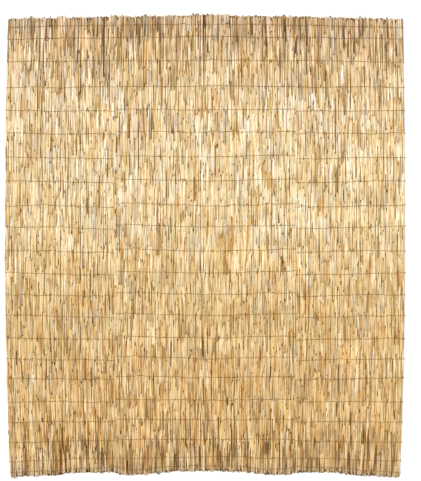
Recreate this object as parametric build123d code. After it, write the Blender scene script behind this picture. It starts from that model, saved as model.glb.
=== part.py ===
from build123d import *
import math
import os
import random

# A width of reed screening, unrolled and lying on its back. Thick reeds of the full height lie side by side
# at the back. Thinner and shorter reeds lie over them, end to end in columns. Courses of wire cross all the
# reeds, each with one wire behind and one in front, and stitches between the bundles of reeds join the two.
# X runs along the wires and Y along the reeds, with the top edge at +Y. Z is the thickness, with the face
# side up. The origin is the middle of the underside. Lengths are in millimetres.

# Overall size
mat_width = 1545
mat_height = 1800

# Wire and its stitches
wire_thickness = 1.2
stitch_pitch = 172

# Reeds are drawn with this many flat sides, and are measured across the flats of the thick end
reed_sides = 6
back_reed_thickness = 7.8
back_reed_variation = 0.10
front_reed_thickness = 5.9
front_reed_variation = 0.24
reed_taper = 0.22

# The front reeds, from the shortest to the longest, and how far a cut between two of them stays from a wire
front_reed_length = (420, 1700)
cut_clearance = 15

# Clearances
side_gap = 0.3
layer_gap = 0.3
wire_gap = 0.2
end_gap = (2, 12)

# Gaps from the top edge down to the first course, from each course to the next, and on to the bottom edge.
# They are set out by eye, close together at both edges, and are stretched to fill the height of the mat.
course_gaps = (46, 46, 91, 100, 90, 87, 94, 92, 95, 83, 93, 87, 83, 81, 88, 80, 76, 89, 78, 77, 70, 38, 36)

# How far the top edge drops, and how far the bottom edge rises, going from the middle (0) to a side (1)
top_edge_drop = ((0, 0), (0.5, 8), (1, 15))
bottom_edge_rise = (
    (0, 27), (0.18, 25), (0.3, 13), (0.44, 12), (0.45, 22), (0.68, 20), (0.76, 10), (0.93, 7), (1, 0),
)
ragged_edge = 6

# What a reed measures across its flats, as a share of what it measures from corner to corner
flats_share = math.cos(math.pi / reed_sides)

chance = random.Random(11)


def along(profile, share):
    """The height of a stepped or sloping edge at a share of the way from the middle to a side."""
    for (near, near_height), (far, far_height) in zip(profile, profile[1:]):
        if share <= far:
            return near_height + (far_height - near_height) * (share - near) / (far - near)
    return profile[-1][1]


def top_edge(x):
    return mat_height / 2 - along(top_edge_drop, abs(x) / (mat_width / 2))


def bottom_edge(x):
    return -mat_height / 2 + along(bottom_edge_rise, abs(x) / (mat_width / 2))


def course_heights():
    """Y of every course of wire, from the top down."""
    stretch = mat_height / sum(course_gaps)
    heights = []
    height = mat_height / 2
    for gap in course_gaps[:-1]:
        height -= gap * stretch
        heights.append(height)
    return heights


def stitch_places():
    """X of every line of stitches, with one line at each side of the mat."""
    bundles = max(1, round(mat_width / stitch_pitch))
    first = -mat_width / 2 + wire_thickness / 2
    step = (mat_width - wire_thickness) / bundles
    return [first + step * number for number in range(bundles + 1)]


def slots(left, right, thickness, variation):
    """Centre and thickness of each reed that lies side by side with its neighbours from left to right."""
    corner_to_corner = thickness / flats_share
    count = max(1, round((right - left + side_gap) / (corner_to_corner + side_gap)))
    shares = [chance.uniform(1 - variation, 1 + variation) for _ in range(count)]
    stretch = (right - left - side_gap * (count - 1)) / sum(shares)
    laid = []
    edge = left
    for share in shares:
        width = share * stretch
        laid.append((edge + width / 2, width * flats_share))
        edge += width + side_gap
    return laid


def cuts(low, high, courses):
    """Where a column of the front layer is cut, from the top down, clear of the wires."""
    shortest, longest = front_reed_length
    places = []
    place = high - chance.uniform(shortest, longest)
    while place > low + shortest:
        course = min(courses, key=lambda y: abs(y - place))
        if abs(place - course) < cut_clearance:
            place = course + math.copysign(cut_clearance, place - course)
        places.append(place)
        place -= chance.uniform(shortest, longest)
    return places


def lay_back(left, right):
    """The back reeds of one bundle, each as (x, low end, high end, thickness at the low and the high end)."""
    reeds = []
    for number, (x, thickness) in enumerate(slots(left, right, back_reed_thickness, back_reed_variation)):
        low = bottom_edge(x) + chance.uniform(0, ragged_edge)
        high = top_edge(x) - chance.uniform(0, ragged_edge)
        ends = (thickness, thickness * (1 - reed_taper))
        reeds.append((x, low, high, *(ends if number % 2 else ends[::-1])))
    return reeds


def lay_front(left, right, courses):
    """The front reeds of one bundle, in columns that are cut into shorter pieces."""
    reeds = []
    for x, thickness in slots(left, right, front_reed_thickness, front_reed_variation):
        low = bottom_edge(x) + chance.uniform(0, ragged_edge)
        high = top_edge(x) - chance.uniform(0, ragged_edge)
        for cut in [*cuts(low, high, courses), low]:
            ends = [thickness, thickness * (1 - reed_taper)]
            chance.shuffle(ends)
            reeds.append((x, cut, high, *ends))
            high = cut - chance.uniform(*end_gap)
    return reeds


def ring(x, y, z, thickness):
    """The corners of a reed's section, with its flats at the front and the back."""
    reach = thickness / 2 / flats_share
    turns = [math.tau * number / reed_sides for number in range(reed_sides)]
    return [Vector(x + reach * math.cos(turn), y, z + reach * math.sin(turn)) for turn in turns]


def reed(x, low, high, low_thickness, high_thickness, seat, side):
    """One tapering reed. Its flat lies along seat, with the body on the side that +1 or -1 says."""
    low_ring = ring(x, low, seat + side * low_thickness / 2, low_thickness)
    high_ring = ring(x, high, seat + side * high_thickness / 2, high_thickness)
    faces = [Face(Wire.make_polygon(corners)) for corners in (low_ring, high_ring)]
    for corner in range(reed_sides):
        beside = (corner + 1) % reed_sides
        faces.append(Face(Wire.make_polygon([
            low_ring[corner], low_ring[beside], high_ring[beside], high_ring[corner],
        ])))
    return Solid(Shell(faces))


def bar(x_size, y_size, z_size, x, y, z):
    """A straight length of wire, with its middle at x, y and its underside at z."""
    return Pos(x, y, z) * Box(x_size, y_size, z_size, align=(Align.CENTER, Align.CENTER, Align.MIN))


def save(name, solids):
    export_step(Compound(children=solids), f"parts/{name}.step")


os.makedirs("parts", exist_ok=True)

courses = course_heights()
stitches = stitch_places()
room = wire_thickness / 2 + side_gap
bundles = [(left + room, right - room) for left, right in zip(stitches, stitches[1:])]
back = [lay_back(left, right) for left, right in bundles]
front = [lay_front(left, right, courses) for left, right in bundles]

# The longest reeds reach the full height of the mat, at both edges
laid = [one for bundle in back + front for one in bundle]
top_shortfall = mat_height / 2 - max(one[2] for one in laid)
bottom_shortfall = min(one[1] for one in laid) + mat_height / 2

# Levels, from the floor up: back wire, back reeds, front reeds and front wire
back_level = wire_thickness + wire_gap
back_depth = max(max(one[3:]) for bundle in back for one in bundle)
front_depth = max(max(one[3:]) for bundle in front for one in bundle)
front_level = back_level + back_depth + layer_gap + front_depth
front_wire_level = front_level + wire_gap


def fit_ends(one):
    """A reed that reaches an edge, lengthened by what the longest one falls short of there."""
    x, low, high, *ends = one
    lowest = low <= bottom_edge(x) + ragged_edge
    highest = high >= top_edge(x) - ragged_edge
    return (x, low - bottom_shortfall * lowest, high + top_shortfall * highest, *ends)


for number, bundle in enumerate(back, start=1):
    save(f"back_reeds_{number}", [reed(*fit_ends(one), back_level, 1) for one in bundle])

for number, bundle in enumerate(front, start=1):
    save(f"front_reeds_{number}", [reed(*fit_ends(one), front_level, -1) for one in bundle])

for number, y in enumerate(courses, start=1):
    back_wire = bar(mat_width, wire_thickness, wire_thickness, 0, y, 0)
    front_wire = bar(mat_width, wire_thickness, wire_thickness, 0, y, front_wire_level)
    save(f"wire_course_{number:02d}", [back_wire, front_wire])

stitch_length = front_wire_level - wire_thickness
save("stitches", [
    bar(wire_thickness, wire_thickness, stitch_length, x, y, wire_thickness) for y in courses for x in stitches
])

print("reeds", sum(map(len, back)), "behind and", sum(map(len, front)), "in front")
print("thickness of the mat", round(front_wire_level + wire_thickness, 2))
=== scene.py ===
import math
import random
from collections import namedtuple

import bmesh
import bpy
from mathutils import Matrix, Vector, noise


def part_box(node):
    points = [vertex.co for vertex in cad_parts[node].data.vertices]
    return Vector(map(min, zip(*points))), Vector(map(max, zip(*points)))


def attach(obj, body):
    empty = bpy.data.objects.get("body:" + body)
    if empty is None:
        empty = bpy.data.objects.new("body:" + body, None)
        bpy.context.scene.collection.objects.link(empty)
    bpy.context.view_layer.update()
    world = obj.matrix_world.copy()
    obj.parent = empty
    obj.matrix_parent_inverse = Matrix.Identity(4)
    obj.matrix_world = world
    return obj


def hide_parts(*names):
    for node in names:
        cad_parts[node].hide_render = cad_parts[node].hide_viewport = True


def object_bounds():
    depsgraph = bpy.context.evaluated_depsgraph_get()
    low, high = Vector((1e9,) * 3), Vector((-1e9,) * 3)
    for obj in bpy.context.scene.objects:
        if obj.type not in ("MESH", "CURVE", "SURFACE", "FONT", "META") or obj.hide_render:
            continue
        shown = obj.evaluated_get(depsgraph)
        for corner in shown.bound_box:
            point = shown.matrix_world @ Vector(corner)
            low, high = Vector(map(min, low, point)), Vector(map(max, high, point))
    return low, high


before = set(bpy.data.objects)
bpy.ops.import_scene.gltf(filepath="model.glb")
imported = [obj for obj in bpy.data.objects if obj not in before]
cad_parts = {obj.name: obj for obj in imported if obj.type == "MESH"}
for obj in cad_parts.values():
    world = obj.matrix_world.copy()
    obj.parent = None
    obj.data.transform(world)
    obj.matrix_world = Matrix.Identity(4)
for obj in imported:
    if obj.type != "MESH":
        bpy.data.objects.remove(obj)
cad_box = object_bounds()

# The screening lies on its back with its face up. X runs along the wires, Y along the reeds and Z out of
# the face. Sizes are in metres.
MM = 0.001
mat_width = cad_box[1].x - cad_box[0].x
mat_height = cad_box[1].y - cad_box[0].y
bundle_count = sum(name.startswith("front_reeds_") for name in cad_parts)
course_count = sum(name.startswith("wire_course_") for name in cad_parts)

# The sides of the mat draw in. It is widest between two heights, and narrower by a share at each edge.
widest = 1.005
widest_band = (-0.05, 0.25)
top_narrowing = 0.0145
bottom_narrowing = 0.025

# Wire
wire_radius = 0.65 * MM
wire_seat = cad_box[1].z - 2 * wire_radius
back_seat = 2 * wire_radius
stitch_radius = 0.45 * MM
stitch_pitch = 17.2 * MM
stitch_scatter = 2 * MM
stitch_pull = 0.5 * MM
pull_share = (0.2, 1)
wire_waver = 0.5 * MM
twist_length = 9 * MM
twist_scatter = 2 * MM
tail_start = 2 * MM
tail_length = (3 * MM, 6 * MM)
tail_splay = (0.5, 0.3)
strand_offset = 0.55 * MM
turn_length = 3.2 * MM
turn_steps = 4

# How much higher a course lies at the middle of the mat than at its sides, at the top and the bottom edge
top_bow = 12 * MM
bottom_bow = 17 * MM

# How a course sways, ripples and kinks: how far, and how often in a metre. It kinks only where its noise is
# over a limit, and the noise is another one in each course.
sway = 4 * MM
sway_pace = 6
ripple = 2.5 * MM
ripple_pace = 19
kink = 12 * MM
kink_pace = 28
kink_from = 0.25
course_pace = 40

# Each front wire has two joins, at the same distance from the middle, where its ends go down into the mat.
# The dip is given in shares of a join's width. The courses sag on both sides of the joins, and the sag
# fades out towards the top and the bottom edge.
join_place = 350 * MM
join_width = 5 * MM
join_dip = (-0.5, -0.1, 0.1, 0.5)
outer_sag = 9 * MM
inner_rise = 6.5 * MM
inner_sag = 9 * MM
sag_middle = -90 * MM
sag_reach = 800 * MM
sag_fade = 450 * MM

# Near the bottom edge a course follows that edge
follow_from = 790 * MM
follow_over = 70 * MM
follow_reach = 20 * MM

# Reeds. The length of a joint or a cut end stays the same, however long the reed is. A joint's swell is how
# thick the reed is before, at and after it.
reed_sides = 6
joint_length = 4 * MM
joint_part = 0.02
joint_swell = (0.96, 1.1, 1.12)
joint_scatter = 0.25
oval = math.cos(math.pi / reed_sides)
main_reed_fineness = 0.84
main_joint_spacing = 190 * MM
back_bend = 0.5 * MM
back_slant = 0.5
front_bend = 1 * MM
front_slant = 0.6

# Thin reeds, in columns over the main ones, and longer ones in the grooves at the back. A length is given
# as (shortest, longest, likeliest).
fine_pitch = 6.4 * MM
fine_radius = (2.1 * MM, 4.4 * MM)
fine_taper = (0.7, 1)
fine_flatness = (0.6, 1)
fine_length = (0.06, 0.19, 0.10)
fine_joint_spacing = 78 * MM
groove_length = (0.15, 0.55, 0.3)
groove_joint_spacing = 150 * MM
groove_calm = 0.25
fine_lean = 0.016
fine_scatter = 1.9 * MM
fine_depth = 1.5 * MM
fine_bend = 0.6 * MM
sawn_slant = 0.25
torn_slant = 1.0
fine_gap = (0.0, 4 * MM)
bare_patch = (0.015, 0.045)
bare_patch_share = 0.05

# How unevenly the columns end, how far in from a side of the mat the outermost one lies, in pitches, how
# near that side a bundle is the outermost one, and how near a reed is one of a column's own
top_scatter = (-13 * MM, 8 * MM)
bottom_scatter = (-4 * MM, 6 * MM)
side_inset = 0.15
side_reach = 2 * MM
column_reach = 8 * MM

# How dark a reed's end is, and how many ends are so: clean, dirty and rotten ones. The darkness is dirt and
# rot together with painted shade inside the hollow of the end.
tip_kinds = (0, 0.8, 3)
tip_shares = (0.6, 0.1, 0.3)

# Torn leaf sheaths, which lie on the thin reeds. Their half width and their length are given as (least,
# greatest, likeliest).
husks_in_bundle = 390
husk_half_width = (1.0 * MM, 4.6 * MM, 1.5 * MM)
husk_taper = (0.6, 1)
husk_flatness = (0.22, 0.4)
husk_length = (0.04, 0.14, 0.075)
husk_lean = 0.024
husk_depth = 1.2 * MM
husk_bend = 1 * MM
husk_tip = (0, 0.5)

# Narrow dark strips, painted shadows of the seams between reeds, as (where they start, how many a bundle
# has, shortest, longest), and dark stubs, knots and painted shade at reed tips
seam_shadows = (
    ("low", 4, 0.03, 0.10),
    ("low", 3, 0.13, 0.22),
    ("high", 4, 0.04, 0.25),
    ("stray", 3, 0.03, 0.12),
)
seam_shadow_half_width = (0.7 * MM, 1.4 * MM)
stubs_in_bundle = 60
stub_half_width = (0.9 * MM, 1.7 * MM)
stub_length = (0.007, 0.020)
stub_lowness = 1.3
sliver_flatness = 0.6
sliver_bend = 1 * MM
sliver_slant = 1.0

# Reeds that are rotten at their lowest tip
rotten_tips_in_bundle = 3
rotten_tip_half_width = (1.8 * MM, 3.2 * MM)
rotten_tip_length = (0.008, 0.018)
rotten_tip_scatter = (-3 * MM, 1 * MM)

# Slots at the top edge, painted as dark slivers of shade, and a grey reed at each top corner
slots = (-396.5 * MM, -7 * MM, 393.5 * MM)
slot_length = 235 * MM
slot_half_width = 2.2 * MM
corner_reeds = (-769 * MM, 769 * MM)
corner_length = 175 * MM
corner_half_width = 3.0 * MM
top_sliver_rise = 0.4 * MM

# Surfaces. Most of a noise lies between its low and its high value.
noise_low = 0.3
noise_high = 0.7
reed_roughness = 0.62
reed_refraction = 1.3
fibre_bump = 0.35
fibre_height = 0.2 * MM
wire_metal = 0.35
wire_roughness = 0.55
white = (1, 1, 1, 1)

# Floor
floor_white = 0.86
floor_glow = 0.32
floor_reach = 6

# Light. The lamp's width and its turns about X and Y are in degrees.
lamp_power = 2.30
lamp_width = 35
lamp_turn = (-16, -20)
sky_light = 0.53

# Camera. Its lens is in millimetres.
lens = 100
camera_reach = 100

# The photograph, in its own pixels
photo_width = 421
photo_height = 481
photo_mat_middle = 205.4
photo_mat_top = 14
photo_mat_bottom = 478

weld_distance = 1e-5
chance = random.Random(7)
Reed = namedtuple("Reed", "low high low_radius high_radius")
Column = namedtuple("Column", "x bottom top")


def linear(*rgb):
    """The linear colour of three 0 to 255 screen values."""
    return tuple(
        c / 255 / 12.92 if c / 255 <= 0.04045 else ((c / 255 + 0.055) / 1.055) ** 2.4 for c in rgb
    )


# Dry reed, from the oldest and darkest to the palest straw
# The darkest brown is rot, and also the painted shade of seams and reed tips
rot_and_shade_black = linear(58, 38, 18)
rot_brown = linear(104, 64, 26)
husk_brown = linear(150, 104, 48)
bark_tan = linear(198, 157, 94)
dry_tan = linear(233, 200, 139)
warm_straw = linear(248, 228, 177)
pale_straw = linear(255, 243, 207)
cream = linear(255, 253, 240)
reed_ages = (
    (0.00, rot_brown),
    (0.03, husk_brown),
    (0.07, bark_tan),
    (0.17, dry_tan),
    (0.38, warm_straw),
    (0.64, pale_straw),
    (1.00, cream),
)

# How much older the reeds look near both edges and how much fresher near the middle, and how wide that is
top_wear = 0.5
bottom_wear = 0.9
worn_band = 0.3
sound_gain = 0.35
sound_middle = 0.08
sound_band = 0.35

# Reeds that are tinted, how many of all are so and how strongly, and how much the sections of a reed differ
pinkish = linear(243, 204, 172)
pinkish_share = 0.14
pinkish_strength = 0.55
weathered_grey = linear(166, 156, 124)
weathered_share = 0.04
weathered_strength = 0.6
section_change = 0.65

# Painted shade in the slots, corner reeds, cut ends, joints, scars and wire
slot_shade_grey = linear(80, 64, 62)
corner_grey = linear(152, 128, 106)
worn_end = linear(228, 224, 210)
# Ends and joints are darkened towards this brown; in the middle of an end this is partly painted shade in
# its hollow
end_brown = linear(84, 60, 32)
end_strength = 0.85
joint_fading = 1.4
joint_shade = 0.6
scar_brown = linear(124, 82, 40)
wire_gold = linear(150, 116, 41)
wire_brown = linear(102, 75, 23)

# Tints that are laid over a reed's own colour
aged_tint = (0.87, 0.80, 0.66)
fresh_tint = (1.11, 1.11, 1.14)
honey = (1.0, 0.95, 0.83)
clump_tint = (0.90, 0.82, 0.71)
# Painted shade deep in the mat, between the reeds
groove_shade_tint = (0.90, 0.74, 0.40)
no_tint = (1.0, 1.0, 1.0)
# Dark streaks near the top and the bottom edge: stain, and painted shade of deep gaps between the reed ends
stain_and_gap_shade = (0.34, 0.23, 0.11)

# Painted shade deep between the reeds, as a brown tint: how deep in the mat a reed is still untinted, and
# how deep it is quite brown
unshaded_depth = 1.2 * MM
full_shade_depth = 4.5 * MM

# What a reed's red, green and blue are multiplied by at a height, which is 0 at the bottom edge of the mat
# and 1 at the top edge. The lower half is browner than the upper one, and both edges are darker.
height_tints = (
    (0.00, (0.81, 0.75, 0.72)),
    (0.014, (0.83, 0.74, 0.625)),
    (0.04, (0.925, 0.815, 0.66)),
    (0.18, (0.88, 0.78, 0.64)),
    (0.40, (0.91, 0.845, 0.735)),
    (0.64, (1.00, 1.01, 1.03)),
    (0.83, (1.00, 1.02, 1.10)),
    (0.92, (0.955, 0.92, 0.92)),
    (0.98, (0.945, 0.885, 0.885)),
    (0.995, (0.95, 0.91, 0.94)),
)


def scatter(size):
    """A value drawn by chance from minus to plus a size."""
    return chance.uniform(-size, size)


def mixed(one, other, share):
    """A colour that lies a share of the way from one to the other."""
    return tuple(a + (b - a) * share for a, b in zip(one, other))


def reed_colour(y):
    """The colour of a reed or a sheath, drawn by chance. Dark ones are commoner near both edges."""
    wear = top_wear if y > 0 else bottom_wear
    worn = max(0, 1 - (mat_height / 2 - abs(y)) / worn_band)
    sound = max(0, 1 - abs(y - sound_middle) / sound_band)
    freshness = chance.random() ** (1 + wear * worn - sound_gain * sound)
    for (low, low_colour), (high, high_colour) in zip(reed_ages, reed_ages[1:]):
        if freshness <= high:
            colour = mixed(low_colour, high_colour, (freshness - low) / (high - low))
            break
    kind = chance.random()
    if kind < pinkish_share:
        colour = mixed(colour, pinkish, pinkish_strength)
    elif kind < pinkish_share + weathered_share:
        colour = mixed(colour, weathered_grey, weathered_strength)
    return colour


def shader(name):
    """A new material with its node list and its main shader."""
    material = bpy.data.materials.new(name)
    material.use_nodes = True
    tree = material.node_tree
    return material, tree, tree.nodes["Principled BSDF"]


def stretched_noise(tree, scale, detail):
    """Noise on the object's own coordinates, with its own scale along each axis."""
    place = tree.nodes.new("ShaderNodeTexCoord")
    mapping = tree.nodes.new("ShaderNodeMapping")
    mapping.inputs["Scale"].default_value = scale
    pattern = tree.nodes.new("ShaderNodeTexNoise")
    pattern.inputs["Scale"].default_value = 1
    pattern.inputs["Detail"].default_value = detail
    tree.links.new(place.outputs["Object"], mapping.inputs["Vector"])
    tree.links.new(mapping.outputs["Vector"], pattern.inputs["Vector"])
    return pattern.outputs["Fac"]


def ranged(tree, value, low, high, to_low, to_high):
    """A value moved from one range to another."""
    node = tree.nodes.new("ShaderNodeMapRange")
    node.inputs["From Min"].default_value = low
    node.inputs["From Max"].default_value = high
    node.inputs["To Min"].default_value = to_low
    node.inputs["To Max"].default_value = to_high
    tree.links.new(value, node.inputs["Value"])
    return node.outputs["Result"]


def noise_between(tree, scale, detail, least, greatest, low=noise_low, high=noise_high):
    """Stretched noise as a value from the least, where it is low, to the greatest, where it is high."""
    return ranged(tree, stretched_noise(tree, scale, detail), low, high, least, greatest)


def reckoned(tree, how, one, other):
    """Two values put together by one step of arithmetic."""
    node = tree.nodes.new("ShaderNodeMath")
    node.operation = how
    tree.links.new(one, node.inputs[0])
    tree.links.new(other, node.inputs[1])
    return node.outputs[0]


def attribute(tree, name, output):
    """A value or a colour that the mesh carries."""
    node = tree.nodes.new("ShaderNodeAttribute")
    node.attribute_name = name
    return node.outputs[output]


def blended(tree, how, factor, one, other):
    """Two colours put together. Each of them, and the factor, is a socket or a fixed value."""
    node = tree.nodes.new("ShaderNodeMix")
    node.data_type = "RGBA"
    node.blend_type = how
    for socket, value in ((node.inputs[0], factor), (node.inputs[6], one), (node.inputs[7], other)):
        if isinstance(value, bpy.types.NodeSocket):
            tree.links.new(value, socket)
        elif isinstance(value, tuple):
            socket.default_value = (*value, 1)
        else:
            socket.default_value = value
    return node.outputs[2]


def grey(tree, value):
    """A value as a colour."""
    node = tree.nodes.new("ShaderNodeCombineColor")
    for socket in node.inputs:
        tree.links.new(value, socket)
    return node.outputs["Color"]


def place_along(tree, axis):
    """Where a point of the object lies along one axis."""
    place = tree.nodes.new("ShaderNodeTexCoord")
    apart = tree.nodes.new("ShaderNodeSeparateXYZ")
    tree.links.new(place.outputs["Object"], apart.inputs["Vector"])
    return apart.outputs[axis]


def height_share(tree):
    """How high up the mat a point lies, from the bottom edge (0) to the top edge (1)."""
    return ranged(tree, place_along(tree, "Y"), -mat_height / 2, mat_height / 2, 0, 1)


def height_tint(tree):
    """The tint of the reeds at each height of the mat."""
    ramp = tree.nodes.new("ShaderNodeValToRGB")
    tree.links.new(height_share(tree), ramp.inputs["Fac"])
    stops = ramp.color_ramp.elements
    for position, _ in height_tints[1:-1]:
        stops.new(position)
    for stop, (position, tint) in zip(stops, height_tints):
        stop.position = position
        stop.color = (*tint, 1)
    return ramp.outputs["Color"]


def groove_shade_depth(tree):
    """How deep a point lies under the face or the back, from an untinted depth (0) to one painted quite
    brown with shade (1).
    """
    across = ranged(tree, place_along(tree, "Z"), back_seat, wire_seat, -1, 1)
    half = (wire_seat - back_seat) / 2
    squared = reckoned(tree, "MULTIPLY", across, across)
    return ranged(tree, squared, (1 - unshaded_depth / half) ** 2, (1 - full_shade_depth / half) ** 2, 0, 1)


def stain_and_gap_shade_mask(tree):
    """Where the reeds are darkened in streaks that thin out away from the top and the bottom edge: dirt
    that has run into them, and painted shade of deep gaps between the reed ends.
    """
    streaks = noise_between(tree, (100, 8, 100), 2, 0, 1, 0.54, 0.62)
    height = height_share(tree)
    near_top = ranged(tree, height, 0.80, 1.0, 0, 0.55)
    near_bottom = ranged(tree, height, 0.0, 0.15, 0.85, 0.06)
    return reckoned(tree, "MULTIPLY", streaks, reckoned(tree, "MAXIMUM", near_top, near_bottom))


def reed_material():
    """Dry reed: each reed's own colour, with fibres, patches, bands, scars and dark joints, a tint by
    height, painted shade deep in the mat, dark streaks near the edges that are stains and painted shade,
    and dark ends.
    """
    material, tree, surface = shader("dry_reed")
    grain = stretched_noise(tree, (2200, 45, 2200), 2)
    fibres = ranged(tree, grain, noise_low, noise_high, 0.92, 1.06)
    patches = noise_between(tree, (150, 15, 150), 2, 0, 1)
    drifts = noise_between(tree, (9, 6, 9), 2, 0.95, 1.05)
    bands = noise_between(tree, (0.7, 9, 0), 2, 0.95, 1.05)
    tones = reckoned(tree, "MULTIPLY", reckoned(tree, "MULTIPLY", drifts, bands), fibres)
    scars = noise_between(tree, (260, 60, 260), 3, 0, 0.8, 0.66, 0.74)
    broad = noise_between(tree, (20, 11, 20), 1, 0, 0.7, 0.42, 0.62)
    clumps = noise_between(tree, (36, 12, 36), 1, 0, 1, 0.52, 0.64)
    aged = blended(tree, "MIX", patches, aged_tint, fresh_tint)
    warmed = blended(tree, "MIX", broad, no_tint, honey)
    # Painted shade: the deeper a reed lies in the mat, the browner it is tinted
    groove_shaded = blended(tree, "MIX", groove_shade_depth(tree), no_tint, groove_shade_tint)
    colour = attribute(tree, "reed_colour", "Color")
    for tint in (aged, grey(tree, tones), warmed, groove_shaded):
        colour = blended(tree, "MULTIPLY", 1.0, colour, tint)
    colour = blended(tree, "MULTIPLY", clumps, colour, clump_tint)
    colour = blended(tree, "MIX", scars, colour, scar_brown)
    colour = blended(tree, "MULTIPLY", 1.0, colour, height_tint(tree))
    # Stains and painted shade of deep gaps, in dark streaks near the edges
    colour = blended(tree, "MULTIPLY", stain_and_gap_shade_mask(tree), colour, stain_and_gap_shade)
    # Dark joints, and dark ends that are dirt together with painted shade in their hollows
    ends = ranged(tree, attribute(tree, "reed_end", "Fac"), 0, 1, 0, end_strength)
    colour = blended(tree, "MIX", ends, colour, end_brown)
    tree.links.new(colour, surface.inputs["Base Color"])
    surface.inputs["Roughness"].default_value = reed_roughness
    surface.inputs["IOR"].default_value = reed_refraction
    bump = tree.nodes.new("ShaderNodeBump")
    bump.inputs["Strength"].default_value = fibre_bump
    bump.inputs["Distance"].default_value = fibre_height
    tree.links.new(grain, bump.inputs["Height"])
    tree.links.new(bump.outputs["Normal"], surface.inputs["Normal"])
    return material


def wire_material():
    """Dull binding wire, with darker and browner stretches."""
    material, tree, surface = shader("binding_wire")
    wear = noise_between(tree, (90, 90, 90), 3, 0, 1, 0.35, 0.65)
    tree.links.new(blended(tree, "MIX", wear, wire_gold, wire_brown), surface.inputs["Base Color"])
    surface.inputs["Metallic"].default_value = wire_metal
    surface.inputs["Roughness"].default_value = wire_roughness
    return material


def seen_directly(tree):
    """1 for what the camera sees straight or in a gloss, and 0 for the light that falls on the object."""
    rays = tree.nodes.new("ShaderNodeLightPath")
    seen = reckoned(tree, "MAXIMUM", rays.outputs["Is Camera Ray"], rays.outputs["Is Glossy Ray"])
    return reckoned(tree, "MAXIMUM", seen, rays.outputs["Is Transmission Ray"])


def floor_material():
    """A white floor that is seen as a white ground, with the object's shadow on it."""
    material, tree, surface = shader("white_floor")
    surface.inputs["Base Color"].default_value = (floor_white, floor_white, floor_white, 1)
    surface.inputs["Roughness"].default_value = 1
    surface.inputs["Specular IOR Level"].default_value = 0
    surface.inputs["Emission Color"].default_value = white
    glow = ranged(tree, seen_directly(tree), 0, 1, 0, floor_glow)
    tree.links.new(glow, surface.inputs["Emission Strength"])
    return material


# The ends of a reed, as (radius, height) from the end inwards: a hollow cut, a plain cut, a torn point and
# the point of a sheath
hollow_end = ((0, 0.012), (0.62, 0), (1, 0), (1, 0.02), (1, 0.1))
cut_end = ((0, 0), (1, 0))
torn_end = ((0, 0), (0.8, 0.06), (1, 0.2))
husk_end = ((0, 0), (0.7, 0.12), (1, 0.42))

# How dark and how worn a hollow reed is near its ends, as (how far in, in joint spacings, how much)
dark_zone = ((0.001, 0.8), (0.05, 0.4), (0.15, 0.1))
worn_zone = ((0.05, 0.75), (0.15, 0.3))

# The shapes of reed that are made so far, the mesh that brings each copy into a bundle, and where the long
# reeds end at the bottom edge
made_shapes = {}
scratch_mesh = bpy.data.meshes.new("scratch")
bottom_ends = []


def within(zone, distance):
    """How much a zone gives at a distance, and nothing beyond it."""
    return next((amount for reach, amount in zone if distance < reach), 0)


def shape(sections, low_end, high_end):
    """A reed of unit radius with a joint at each whole number along Y, turned once and kept for reuse.

    The middle of an end, a joint and the groove after it are dark, the middle of a hollow end with painted
    shade, and the faces across the reed stay flat.
    """
    wanted = (sections, low_end, high_end)
    if wanted in made_shapes:
        return made_shapes[wanted]
    darkening = dark_zone if hollow_end in (low_end, high_end) else ()
    profile = list(low_end)
    for joint in range(1, sections):
        profile += zip(joint_swell, (joint - joint_part, joint, joint + joint_part))
    profile += [(radius, sections - y) for radius, y in reversed(high_end)]
    bm = bmesh.new()
    colour = bm.verts.layers.float_color.new("reed_colour")
    end = bm.verts.layers.float.new("reed_end")
    points = [bm.verts.new((radius, y, 0)) for radius, y in profile]
    edges = [bm.edges.new(pair) for pair in zip(points, points[1:])]
    bmesh.ops.spin(
        bm, geom=points + edges, cent=(0, 0, 0), axis=(0, 1, 0), angle=2 * math.pi, steps=reed_sides,
        use_merge=True,
    )
    bmesh.ops.remove_doubles(bm, verts=bm.verts, dist=weld_distance)
    bmesh.ops.recalc_face_normals(bm, faces=bm.faces)
    for vert in bm.verts:
        vert[colour] = white
        radius = math.hypot(vert.co.x, vert.co.z)
        from_joint = vert.co.y - round(vert.co.y)
        # The middle of an end is dark: painted shade inside the hollow, and dirt
        if radius < 0.5:
            vert[end] = 1
        elif round(vert.co.y) in (0, sections):
            vert[end] = within(darkening, abs(from_joint))
        elif from_joint > -joint_part / 2:
            vert[end] = 1 if from_joint < joint_part / 2 else joint_shade
    for face in bm.faces:
        face.smooth = abs(face.normal.y) < 0.5
    mesh = bpy.data.meshes.new("shape")
    bm.to_mesh(mesh)
    bm.free()
    made_shapes[wanted] = mesh
    return mesh


def waist(y):
    """What a place across the mat is multiplied by at a height, so that the sides draw in."""
    lowest, highest = widest_band
    over = max(0, y - highest) / (mat_height / 2 - highest)
    under = max(0, lowest - y) / (mat_height / 2 + lowest)
    return widest - top_narrowing * over ** 2 - bottom_narrowing * under ** 2


def stretched(y, length):
    """Where a point of a section of unit length comes to lie in a longer one that keeps its joints."""
    kept = min(joint_length, length / 3)
    if y < joint_part:
        return y / joint_part * kept
    if y > 1 - joint_part:
        return length - (1 - y) / joint_part * kept
    return kept + (y - joint_part) / (1 - 2 * joint_part) * (length - 2 * kept)


def joints_of(low, high, spacing):
    """The heights of the joints of a reed, about evenly spaced."""
    sections = max(1, round((high - low) / spacing))
    step = (high - low) / sections
    return [low + step * (joint + scatter(joint_scatter)) for joint in range(1, sections)]


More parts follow.
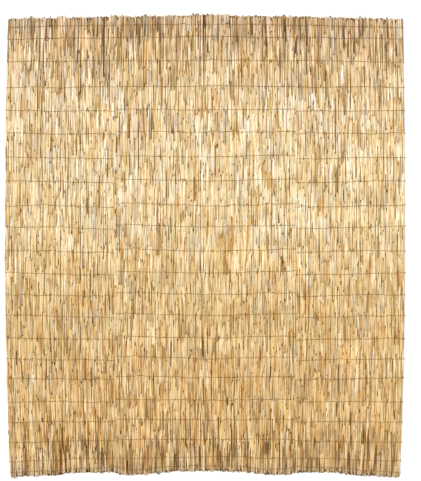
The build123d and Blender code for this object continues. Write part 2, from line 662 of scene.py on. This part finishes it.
def plant(bm, reed, joints, ends=(hollow_end, hollow_end), *, bend, flat, slant=0.0, tip=1.0, dye=None):
    """Adds one reed to a mesh: a copy of its shape, laid from its low to its high end."""
    marks = [reed.low.y, *joints, reed.high.y]
    own = dye or reed_colour((reed.low.y + reed.high.y) / 2)
    colours = [dye or mixed(own, reed_colour(mark), section_change) for mark in marks[1:]]
    knots = [tip, *(chance.random() ** joint_fading for _ in joints), tip]
    wearing = worn_zone if hollow_end in ends else ()
    slope = scatter(slant)
    turn = Matrix.Rotation(chance.uniform(0, math.pi), 3, "Y")
    length = reed.high.y - reed.low.y
    grown = bmesh.new()
    grown.from_mesh(shape(len(colours), *ends))
    colour = grown.verts.layers.float_color["reed_colour"]
    end = grown.verts.layers.float["reed_end"]
    bmesh.ops.rotate(grown, verts=grown.verts, cent=(0, 0, 0), matrix=turn)
    for vert in grown.verts:
        section = min(max(int(vert.co.y), 0), len(colours) - 1)
        y = marks[section] + stretched(vert.co.y - section, marks[section + 1] - marks[section])
        share = min(max((y - reed.low.y) / length, 0), 1)
        radius = reed.low_radius + (reed.high_radius - reed.low_radius) * share
        middle = reed.low.lerp(reed.high, share)
        from_end = min(vert.co.y, len(colours) - vert.co.y)
        vert[colour] = (*mixed(colours[section], worn_end, within(wearing, from_end)), 1)
        vert[end] *= knots[round(vert.co.y)]
        x = (middle.x + vert.co.x * radius + bend * math.sin(math.pi * share)) * waist(y)
        vert.co = (x, y + slope * vert.co.x * radius, middle.z + vert.co.z * radius * flat)
    grown.to_mesh(scratch_mesh)
    grown.free()
    bm.from_mesh(scratch_mesh)


def piece(name, bm, material, slot, *nodes):
    """A finished piece of the object, in the place of the nodes of the frame that it stands for."""
    mesh = bpy.data.meshes.new(name)
    bm.to_mesh(mesh)
    bm.free()
    obj = bpy.data.objects.new(name, mesh)
    bpy.context.scene.collection.objects.link(obj)
    obj.data.materials.append(material)
    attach(obj, "root")
    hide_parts(*nodes)


def read_reeds(node):
    """The reeds of a node of the frame, each with its two ends and its radius there."""
    bm = bmesh.new()
    bm.from_mesh(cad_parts[node].data)
    bmesh.ops.remove_doubles(bm, verts=bm.verts, dist=weld_distance)
    reeds = []
    read = set()
    for first in bm.verts:
        if first in read:
            continue
        read.add(first)
        reached = [first]
        for vert in reached:
            for edge in vert.link_edges:
                near = edge.other_vert(vert)
                if near not in read:
                    read.add(near)
                    reached.append(near)
        middle = sum(vert.co.y for vert in reached) / len(reached)
        low_ring = [vert.co for vert in reached if vert.co.y < middle]
        high_ring = [vert.co for vert in reached if vert.co.y > middle]
        centres = [sum(ring, Vector()) / len(ring) for ring in (low_ring, high_ring)]
        low_radius = max(corner.z for corner in low_ring) - centres[0].z
        high_radius = max(corner.z for corner in high_ring) - centres[1].z
        reeds.append(Reed(*centres, low_radius, high_radius))
    bm.free()
    return sorted(reeds, key=lambda reed: (reed.low.x, reed.low.y))


def columns_over(reeds):
    """Where columns of thin reeds lie over a bundle. The first lies on its left edge."""
    left = min(reed.low.x - reed.low_radius for reed in reeds) - wire_radius
    right = max(reed.low.x + reed.low_radius for reed in reeds) + wire_radius
    columns = round((right - left) / fine_pitch)
    first = side_inset if left < cad_box[0].x + side_reach else 0
    last = columns + 1 if right > cad_box[1].x - side_reach else columns
    places = []
    for column in range(last):
        x = left + max(first, min(column, columns - side_inset)) / columns * (right - left)
        near = [reed for reed in reeds if abs(reed.low.x - x) < column_reach]
        places.append(Column(x, min(reed.low.y for reed in near), max(reed.high.y for reed in near)))
    return places


def chosen_place(places):
    """A column drawn by chance, with its place moved by up to half a pitch."""
    x, bottom, top = chance.choice(places)
    return Column(x + scatter(fine_pitch / 2), bottom, top)


def tip_darkness():
    """How dark the ends of a reed are, drawn by chance."""
    return chance.choices(tip_kinds, tip_shares)[0]


def back_reeds(number):
    """The full-height reeds of one bundle, at the back, with thin reeds in the grooves between them."""
    name = f"back_reeds_{number}"
    bm = bmesh.new()
    reeds = read_reeds(name)
    for reed in reeds:
        round_reed = reed._replace(low_radius=reed.low_radius / oval, high_radius=reed.high_radius / oval)
        joints = joints_of(reed.low.y, reed.high.y, main_joint_spacing)
        plant(bm, round_reed, joints,
              bend=scatter(back_bend), flat=oval, slant=back_slant, tip=tip_darkness())
        bottom_ends.append(reed.low)
    grooves = []
    for one, beside in zip(reeds, reeds[1:]):
        grooves.append((one.low.lerp(beside.low, 0.5), one.high.lerp(beside.high, 0.5)))
    if number > 1:
        middle = (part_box(name)[0].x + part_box(f"back_reeds_{number - 1}")[1].x) / 2
        grooves.append((Vector((middle, reeds[0].low.y, 0)), Vector((middle, reeds[0].high.y, 0))))
    for low, high in grooves:
        fine_column(bm, low.x, low.y, high.y, back_seat, -1, groove_length, groove_joint_spacing)
    piece(f"long_reeds_{number}", bm, reed_finish, "reed", name)


def front_reeds(number):
    """The shorter reeds of one bundle, and the thin reeds and torn sheaths that lie on them."""
    name = f"front_reeds_{number}"
    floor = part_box(name)[0].z
    bm = bmesh.new()
    reeds = read_reeds(name)
    for reed in reeds:
        low_radius = reed.low_radius * main_reed_fineness
        high_radius = reed.high_radius * main_reed_fineness
        low = Vector((reed.low.x, reed.low.y, floor + low_radius))
        high = Vector((reed.high.x, reed.high.y, floor + high_radius))
        joints = joints_of(low.y, high.y, main_joint_spacing)
        plant(bm, Reed(low, high, low_radius / oval, high_radius / oval), joints,
              bend=scatter(front_bend), flat=oval, slant=front_slant, tip=tip_darkness())
    places = columns_over(reeds)
    for x, bottom, top in places:
        low_y = bottom + chance.uniform(*bottom_scatter)
        high_y = top + chance.uniform(*top_scatter)
        fine_column(bm, x, low_y, high_y, wire_seat, 1, fine_length, fine_joint_spacing)
    for _ in range(husks_in_bundle):
        husk(bm, *chosen_place(places))
    # Painted shadows: dark strips in the seams between reeds, and dark stubs that are knots and painted
    # shade at reed tips
    painted_seam_shadows(bm, places)
    knots_tip_shade_and_rotten_tips(bm, places)
    # The slots are dark slivers of painted shade at the top edge
    marks = [(x, slot_length, slot_half_width, slot_shade_grey) for x in slots]
    marks += [(x, corner_length, corner_half_width, corner_grey) for x in corner_reeds]
    for x, length, half_width, dye in marks:
        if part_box(name)[0].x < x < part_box(name)[1].x:
            nearest = min(places, key=lambda place: abs(place.x - x))
            low_y = nearest.top - length
            dark_sliver(bm, x, low_y, length, half_width, (torn_end, cut_end), dye, top_sliver_rise)
    piece(f"reeds_{number}", bm, reed_finish, "reed", name)


def fine_column(bm, x, bottom, top, seat, side, lengths, joint_spacing):
    """Thin reeds end to end, from the bottom to the top edge of the mat, just under one side's wires."""
    low_y = bottom
    shortest = lengths[0]
    liveliness = 1 if side > 0 else groove_calm
    while low_y < top - shortest / 2:
        high_y = low_y + chance.triangular(*lengths)
        if high_y > top - shortest / 2:
            high_y = top
        low_end = hollow_end if low_y == bottom else chance.choice((cut_end, torn_end))
        high_end = hollow_end if high_y == top else chance.choice((cut_end, torn_end))
        flat = chance.uniform(*fine_flatness)
        radii = [chance.uniform(*fine_radius)]
        radii.append(radii[0] * chance.uniform(*fine_taper))
        chance.shuffle(radii)
        lean = liveliness * chance.gauss(0, fine_lean) * (high_y - low_y)
        middle = x + liveliness * scatter(fine_scatter)
        points = []
        for y, across, radius in zip((low_y, high_y), (middle - lean / 2, middle + lean / 2), radii):
            depth = radius * flat + chance.uniform(0, fine_depth)
            points.append(Vector((across, y, seat - side * depth)))
        joints = joints_of(low_y, high_y, joint_spacing)
        slant = sawn_slant if hollow_end in (low_end, high_end) else torn_slant
        plant(bm, Reed(*points, *radii), joints, (low_end, high_end),
              bend=scatter(fine_bend), flat=flat, slant=slant, tip=tip_darkness())
        low_y = high_y + chance.uniform(*fine_gap)
        if chance.random() < bare_patch_share:
            low_y += chance.uniform(*bare_patch)


def husk(bm, x, bottom, top):
    """A torn leaf sheath, flat and pointed at both ends, which lies on the thin reeds under the wires."""
    length = chance.triangular(*husk_length)
    low_y = chance.uniform(bottom, top - length)
    half_width = chance.triangular(*husk_half_width)
    flat = chance.uniform(*husk_flatness)
    lean = chance.gauss(0, husk_lean) * length
    points = []
    for y, across in ((low_y, x - lean / 2), (low_y + length, x + lean / 2)):
        points.append(Vector((across, y, wire_seat - half_width * flat - chance.uniform(0, husk_depth))))
    high_half_width = half_width * chance.uniform(*husk_taper)
    plant(bm, Reed(*points, half_width, high_half_width), (), (husk_end, husk_end),
          bend=scatter(husk_bend), flat=flat, tip=chance.uniform(*husk_tip))


def painted_seam_shadows(bm, places):
    """Narrow dark strips that paint the shadows in the seams between reeds, which start at the bottom or
    the top edge or between them.
    """
    for start, count, shortest, longest in seam_shadows:
        for _ in range(count):
            x, bottom, top = chosen_place(places)
            length = chance.uniform(shortest, longest)
            stray = chance.uniform(bottom, top - length)
            low_y = {"low": bottom, "high": top - length, "stray": stray}[start]
            dark_sliver(bm, x, low_y, length, chance.uniform(*seam_shadow_half_width), (husk_end, husk_end))


def knots_tip_shade_and_rotten_tips(bm, places):
    """Short dark stubs, knots and painted shade at reed tips, of which more lie low down, and the rotten
    lowest tips of a few reeds.
    """
    for _ in range(stubs_in_bundle):
        x, bottom, top = chosen_place(places)
        length = chance.uniform(*stub_length)
        ends = (chance.choice((cut_end, torn_end)), chance.choice((cut_end, torn_end)))
        low_y = bottom + (top - bottom - length) * chance.random() ** stub_lowness
        dark_sliver(bm, x, low_y, length, chance.uniform(*stub_half_width), ends)
    for _ in range(rotten_tips_in_bundle):
        x, bottom, top = chance.choice(places)
        low_y = bottom + chance.uniform(*rotten_tip_scatter)
        half_width = chance.uniform(*rotten_tip_half_width)
        length = chance.uniform(*rotten_tip_length)
        dark_sliver(bm, x, low_y, length, half_width, (torn_end, torn_end), rot_and_shade_black)


def dark_sliver(bm, x, low_y, length, half_width, ends, own_dye=None, rise=0):
    """A dark sliver that lies just under the wires, or presses up into them by its rise: rotten bark, a
    grey reed, or painted shade in a seam, a slot or at a reed tip.
    """
    level = wire_seat - half_width * sliver_flatness + rise
    low = Vector((x, low_y, level))
    high = Vector((x + scatter(sliver_bend), low_y + length, level))
    # Seams and stubs are dark browns: painted shade, and knots
    dye = own_dye or mixed(rot_and_shade_black, husk_brown, chance.random())
    plant(bm, Reed(low, high, half_width, half_width), (), ends,
          bend=scatter(sliver_bend), flat=sliver_flatness, slant=sliver_slant, dye=dye)


def wander(x, y, pace, layer):
    """A smooth chance value from about -1 to 1 along a course, which is another one in each course."""
    return noise.noise(Vector((x * pace, y * course_pace, layer)))


def course_rise(x, y):
    """How far a course of wire lies above a straight line.

    It bows most near the top edge, and near the bottom edge it follows that edge. In between it sinks from
    both sides towards two joins, where it steps up, and sinks again towards the middle.
    """
    bow = top_bow if y > 0 else bottom_bow
    across = math.cos(math.pi * x / mat_width) - 0.5
    swayed = wander(x, y, sway_pace, 0) * sway + wander(x, y, ripple_pace, 2) * ripple
    kinked = max(0, wander(x, y, kink_pace, 5) - kink_from) * kink
    if abs(x) > join_place:
        sunk = (mat_width / 2 - abs(x)) / (mat_width / 2 - join_place) * -outer_sag
    else:
        sunk = inner_rise - (1 - abs(x) / join_place) * inner_sag
    strength = min(1, max(0, (sag_reach - abs(y - sag_middle)) / sag_fade))
    bowed = bow * (y / (mat_height / 2)) ** 2 * across
    follow = min(1, max(0, (-y - follow_from) / follow_over))
    if follow:
        near = [end.y for end in bottom_ends if abs(end.x - x) < follow_reach]
        lifted = sum(near) / len(near) - sum(end.y for end in bottom_ends) / len(bottom_ends)
        bowed += (lifted - bowed) * follow
    return bowed + swayed + kinked + sunk * strength


def on_course(x, y, level):
    """The point of a course that lies at a place across the mat, at a level."""
    return x * waist(y), y + course_rise(x, y), level


def wire_curve(radius, roundness):
    """An empty curve that becomes wire along each line that is added to it."""
    curve = bpy.data.curves.new("wire", "CURVE")
    curve.dimensions = "3D"
    curve.bevel_depth = radius
    curve.bevel_resolution = roundness
    curve.use_fill_caps = True
    return curve


def wire_line(curve, points):
    """Adds one wire through some points to a curve."""
    line = curve.splines.new("POLY")
    line.points.add(len(points) - 1)
    for point, place in zip(line.points, points):
        point.co = (*place, 1)


def add_wire(bm, curve):
    """Adds the wires of a curve to a mesh."""
    loose = bpy.data.objects.new("loose", curve)
    bm.from_mesh(bpy.data.meshes.new_from_object(loose))
    bpy.data.objects.remove(loose)
    for face in bm.faces:
        face.smooth = True


def course_levels(number):
    """The height on the mat of a course, and the levels of its front and its back wire."""
    low_corner, high_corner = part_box(f"wire_course_{number:02d}")
    return (low_corner.y + high_corner.y) / 2, high_corner.z - wire_radius, low_corner.z + wire_radius


def stitch_round(thread, place, low, high):
    """Adds a thin stitch from the back of the mat round the front wire and down again."""
    beside = wire_radius + stitch_radius
    wire_line(thread, [
        (place.x, place.y + beside, low),
        (place.x, place.y + beside, high - stitch_radius),
        (place.x, place.y, high),
        (place.x, place.y - beside, high - stitch_radius),
        (place.x, place.y - beside, low),
    ])


def wire_course(number):
    """One course: the front and the back wire, and the thin stitches that pull them together."""
    y, front_z, back_z = course_levels(number)
    reach = mat_width / 2 - wire_radius
    stitches = round(2 * reach / stitch_pitch)
    front = wire_curve(wire_radius, 1)
    back = wire_curve(wire_radius, 0)
    thread = wire_curve(stitch_radius, 0)
    front_points = []
    back_points = []
    middle_z = (front_z + back_z) / 2
    for join in (-join_place, join_place):
        for share, level in zip(join_dip, (front_z, middle_z, middle_z, front_z)):
            front_points.append(on_course(join + share * join_width, y, level))
    for stitch in range(stitches + 1):
        x = (2 * stitch / stitches - 1) * reach
        x += scatter(stitch_scatter) * (0 < stitch < stitches)
        if abs(abs(x) - join_place) < join_width:
            continue
        pull = stitch_pull * chance.uniform(*pull_share)
        place = Vector(on_course(x, y, 0))
        front_points.append((place.x, place.y, front_z - pull))
        back_points.append((place.x, place.y, back_z + pull))
        stitch_round(thread, place, back_z + pull, front_z - pull + wire_radius + stitch_radius)
        x += stitch_pitch / 2
        if stitch < stitches and abs(abs(x) - join_place) > join_width:
            beyond = Vector(on_course(x, y, 0))
            beyond.y += scatter(wire_waver)
            front_points.append((beyond.x, beyond.y, front_z))
            back_points.append((beyond.x, beyond.y, back_z))
    wire_line(front, sorted(front_points))
    wire_line(back, sorted(back_points))
    bm = bmesh.new()
    for curve in (front, back, thread):
        add_wire(bm, curve)
    piece(f"wires_{number:02d}", bm, wire_finish, "wire", f"wire_course_{number:02d}")


def twisted_pair(curve, start, step, length):
    """Two strands of wire twisted round each other along a line from start."""
    steps = max(turn_steps, round(length / turn_length * turn_steps))
    for strand in (0, math.pi):
        points = []
        for number in range(steps + 1):
            angle = strand + 2 * math.pi * number / turn_steps
            offset = Vector((0, math.cos(angle), math.sin(angle))) * strand_offset
            points.append(start + step * (length * number / steps) + offset)
        wire_line(curve, points)


def wire_twists():
    """The twists of wire between the bundles and their tails at both sides of the mat, in every course."""
    edges = [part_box(f"front_reeds_{number}")[0].x for number in range(2, bundle_count + 1)]
    curve = wire_curve(wire_radius, 0)
    for number in range(1, course_count + 1):
        y, front_z, back_z = course_levels(number)
        for edge in edges:
            x = edge - twist_length / 2 + scatter(twist_scatter)
            start = Vector(on_course(x, y, front_z - strand_offset))
            twisted_pair(curve, start, Vector((1, 0, 0)), twist_length)
        for side in (-1, 1):
            start = Vector(on_course(side * mat_width / 2, y, (front_z + back_z) / 2))
            start.x -= side * tail_start
            step = Vector((side, *map(scatter, tail_splay))).normalized()
            twisted_pair(curve, start, step, chance.uniform(*tail_length))
    bm = bmesh.new()
    add_wire(bm, curve)
    piece("wire_twists", bm, wire_finish, "wire", "stitches")


def stage():
    """The white floor, a soft lamp high up at the upper left and an even sky."""
    bm = bmesh.new()
    bmesh.ops.create_grid(bm, x_segments=1, y_segments=1, size=floor_reach)
    mesh = bpy.data.meshes.new("floor")
    bm.to_mesh(mesh)
    bm.free()
    floor = bpy.data.objects.new("floor", mesh)
    floor.data.materials.append(floor_material())
    bpy.context.scene.collection.objects.link(floor)
    lamp = bpy.data.objects.new("lamp", bpy.data.lights.new("lamp", "SUN"))
    lamp.data.energy = lamp_power
    lamp.data.angle = math.radians(lamp_width)
    lamp.rotation_euler = (math.radians(lamp_turn[0]), math.radians(lamp_turn[1]), 0)
    bpy.context.scene.collection.objects.link(lamp)
    world = bpy.data.worlds.new("sky")
    world.use_nodes = True
    tree = world.node_tree
    background = tree.nodes["Background"]
    background.inputs["Color"].default_value = white
    tree.links.new(ranged(tree, seen_directly(tree), 0, 1, sky_light, 1), background.inputs["Strength"])
    bpy.context.scene.world = world


def camera():
    """A long lens straight above the mat, which fills the picture as it does in the photograph."""
    pixel = mat_height / (photo_mat_bottom - photo_mat_top)
    data = bpy.data.cameras.new("camera")
    data.lens = lens
    distance = photo_height * pixel * data.lens / data.sensor_width
    across = (photo_width / 2 - photo_mat_middle) * pixel
    up = ((photo_mat_top + photo_mat_bottom) / 2 - photo_height / 2) * pixel
    data.clip_end = camera_reach
    obj = bpy.data.objects.new("camera", data)
    obj.location = (across, up, cad_box[1].z + distance)
    bpy.context.scene.collection.objects.link(obj)
    bpy.context.scene.camera = obj
    bpy.context.scene.view_settings.view_transform = "Standard"


reed_finish = reed_material()
wire_finish = wire_material()
for bundle in range(1, bundle_count + 1):
    back_reeds(bundle)
    front_reeds(bundle)
for course in range(1, course_count + 1):
    wire_course(course)
wire_twists()
stage()
camera()
